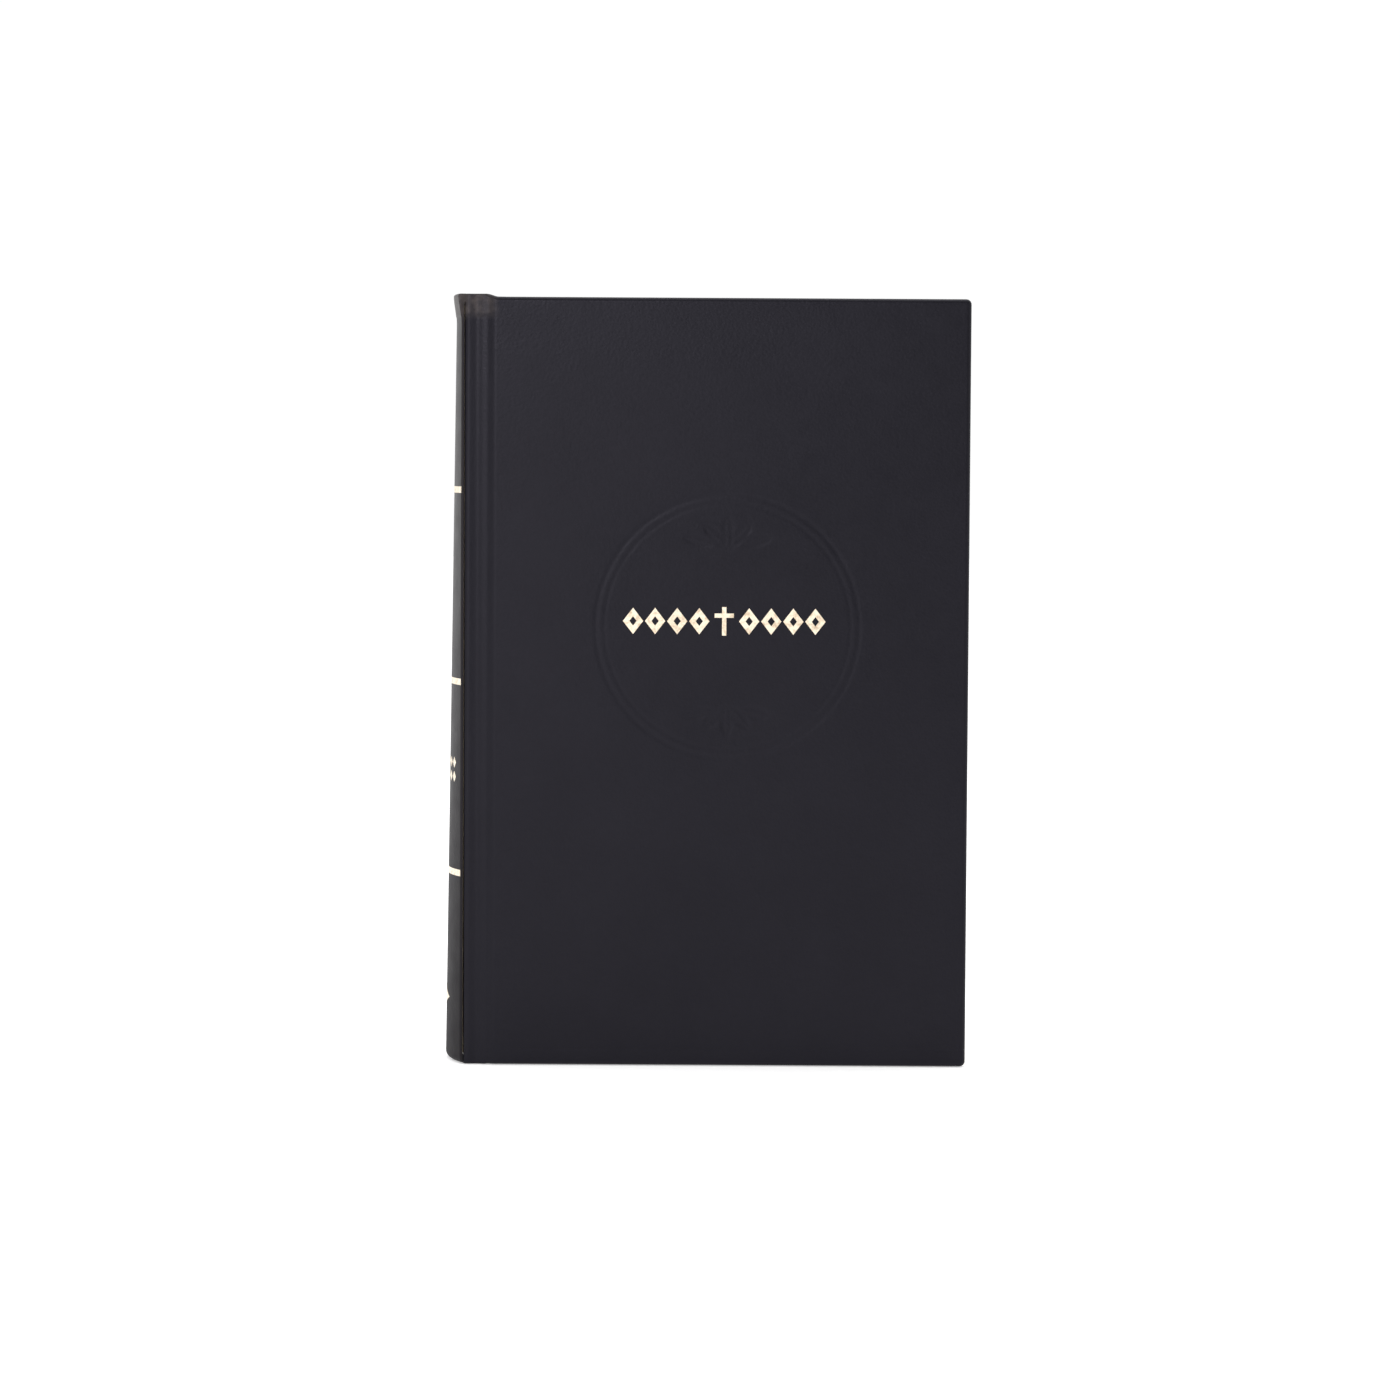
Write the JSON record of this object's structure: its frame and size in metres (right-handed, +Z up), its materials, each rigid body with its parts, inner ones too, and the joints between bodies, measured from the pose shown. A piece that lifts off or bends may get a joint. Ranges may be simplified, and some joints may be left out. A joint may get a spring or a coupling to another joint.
{
  "type": "hardback bible",
  "caption": "Case-bound book standing upright: rounded hollow spine, two hinged leather-covered boards, sewn block and leaves that fan open.",
  "frame": {"origin": "middle of the footprint, on the surface the book stands on", "axes": "+Z up the book's height from tail to head, front cover facing -Y, spine on the -X side"},
  "size_m": [0.1476, 0.0361, 0.2168],
  "materials": {
    "leather": "smooth black leather-grain covering, semi-matt",
    "spine_leather": "the same covering on the spine",
    "foil": "hot-stamped pale gold foil",
    "board": "grey book board",
    "card": "flexible spine card",
    "endpaper": "uncoated endpaper",
    "page": "thin uncoated bible paper",
    "kraft": "kraft lining paper",
    "mull": "open-weave starched cloth",
    "glue": "dried flexible book adhesive",
    "thread": "sewing thread",
    "band": "woven head and tail band"
  },
  "bodies": {
    "text_block": {"spine_leather": "spine_leather", "spine_inlay": "card", "spine_lining": "kraft", "spine_mull": "mull", "spine_glue": "glue", "sewing_thread": "thread", "head_band": "band", "tail_band": "band", "spine_foil_bands": "foil", "spine_foil_rows": "foil", "spine_foil_mark": "foil", "signature_01": "page", "signature_02": "page", "signature_03": "page", "signature_04": "page", "signature_05": "page", "signature_06": "page", "signature_07": "page", "signature_08": "page", "signature_09": "page", "signature_10": "page", "signature_11": "page", "signature_12": "page"},
    "front_cover": {"front_board": "board", "front_cover_leather": "leather", "front_hinge_cloth": "mull", "front_pastedown": "endpaper", "front_foil_ornament": "foil"},
    "front_flyleaf": {"front_flyleaf": "endpaper"},
    "front_leaf_1": {"front_leaf_1": "page"},
    "front_leaf_2": {"front_leaf_2": "page"},
    "front_leaf_3": {"front_leaf_3": "page"},
    "front_leaf_4": {"front_leaf_4": "page"},
    "front_leaf_5": {"front_leaf_5": "page"},
    "back_cover": {"back_board": "board", "back_cover_leather": "leather", "back_hinge_cloth": "mull", "back_pastedown": "endpaper"},
    "back_flyleaf": {"back_flyleaf": "endpaper"},
    "back_leaf_1": {"back_leaf_1": "page"},
    "back_leaf_2": {"back_leaf_2": "page"},
    "back_leaf_3": {"back_leaf_3": "page"},
    "back_leaf_4": {"back_leaf_4": "page"},
    "back_leaf_5": {"back_leaf_5": "page"}
  },
  "joints": [
    {"name": "front_cover_hinge", "type": "hinge", "parent": "text_block", "child": "front_cover", "pos_m": [-0.06815, -0.0172, 0.108], "axis": [0, 0, -1], "range_deg": [0, 180]},
    {"name": "front_flyleaf_turn", "type": "hinge", "parent": "text_block", "child": "front_flyleaf", "pos_m": [-0.06625, -0.0142, 0.108], "axis": [0, 0, -1], "range_deg": [0, 115.7]},
    {"name": "front_leaf_1_turn", "type": "hinge", "parent": "text_block", "child": "front_leaf_1", "pos_m": [-0.06575, -0.0139, 0.108], "axis": [0, 0, -1], "range_deg": [0, 97.7]},
    {"name": "front_leaf_2_turn", "type": "hinge", "parent": "text_block", "child": "front_leaf_2", "pos_m": [-0.06525, -0.0136, 0.108], "axis": [0, 0, -1], "range_deg": [0, 79.7]},
    {"name": "front_leaf_3_turn", "type": "hinge", "parent": "text_block", "child": "front_leaf_3", "pos_m": [-0.06475, -0.0133, 0.108], "axis": [0, 0, -1], "range_deg": [0, 61.7]},
    {"name": "front_leaf_4_turn", "type": "hinge", "parent": "text_block", "child": "front_leaf_4", "pos_m": [-0.06425, -0.013, 0.108], "axis": [0, 0, -1], "range_deg": [0, 43.7]},
    {"name": "front_leaf_5_turn", "type": "hinge", "parent": "text_block", "child": "front_leaf_5", "pos_m": [-0.06375, -0.0127, 0.108], "axis": [0, 0, -1], "range_deg": [0, 22.1]},
    {"name": "back_cover_hinge", "type": "hinge", "parent": "text_block", "child": "back_cover", "pos_m": [-0.06815, 0.0172, 0.108], "axis": [0, 0, 1], "range_deg": [0, 180]},
    {"name": "back_flyleaf_turn", "type": "hinge", "parent": "text_block", "child": "back_flyleaf", "pos_m": [-0.06625, 0.0142, 0.108], "axis": [0, 0, 1], "range_deg": [0, 115.7]},
    {"name": "back_leaf_1_turn", "type": "hinge", "parent": "text_block", "child": "back_leaf_1", "pos_m": [-0.06575, 0.0139, 0.108], "axis": [0, 0, 1], "range_deg": [0, 97.7]},
    {"name": "back_leaf_2_turn", "type": "hinge", "parent": "text_block", "child": "back_leaf_2", "pos_m": [-0.06525, 0.0136, 0.108], "axis": [0, 0, 1], "range_deg": [0, 79.7]},
    {"name": "back_leaf_3_turn", "type": "hinge", "parent": "text_block", "child": "back_leaf_3", "pos_m": [-0.06475, 0.0133, 0.108], "axis": [0, 0, 1], "range_deg": [0, 61.7]},
    {"name": "back_leaf_4_turn", "type": "hinge", "parent": "text_block", "child": "back_leaf_4", "pos_m": [-0.06425, 0.013, 0.108], "axis": [0, 0, 1], "range_deg": [0, 43.7]},
    {"name": "back_leaf_5_turn", "type": "hinge", "parent": "text_block", "child": "back_leaf_5", "pos_m": [-0.06375, 0.0127, 0.108], "axis": [0, 0, 1], "range_deg": [0, 22.1]}
  ],
  "couplings": [
    {"joint": "front_flyleaf_turn", "follows": "front_cover_hinge", "ratio": 0.64},
    {"joint": "front_leaf_1_turn", "follows": "front_cover_hinge", "ratio": 0.54},
    {"joint": "front_leaf_2_turn", "follows": "front_cover_hinge", "ratio": 0.44},
    {"joint": "front_leaf_3_turn", "follows": "front_cover_hinge", "ratio": 0.34},
    {"joint": "front_leaf_4_turn", "follows": "front_cover_hinge", "ratio": 0.24},
    {"joint": "front_leaf_5_turn", "follows": "front_cover_hinge", "ratio": 0.12},
    {"joint": "back_flyleaf_turn", "follows": "back_cover_hinge", "ratio": 0.64},
    {"joint": "back_leaf_1_turn", "follows": "back_cover_hinge", "ratio": 0.54},
    {"joint": "back_leaf_2_turn", "follows": "back_cover_hinge", "ratio": 0.44},
    {"joint": "back_leaf_3_turn", "follows": "back_cover_hinge", "ratio": 0.34},
    {"joint": "back_leaf_4_turn", "follows": "back_cover_hinge", "ratio": 0.24},
    {"joint": "back_leaf_5_turn", "follows": "back_cover_hinge", "ratio": 0.12}
  ]
}
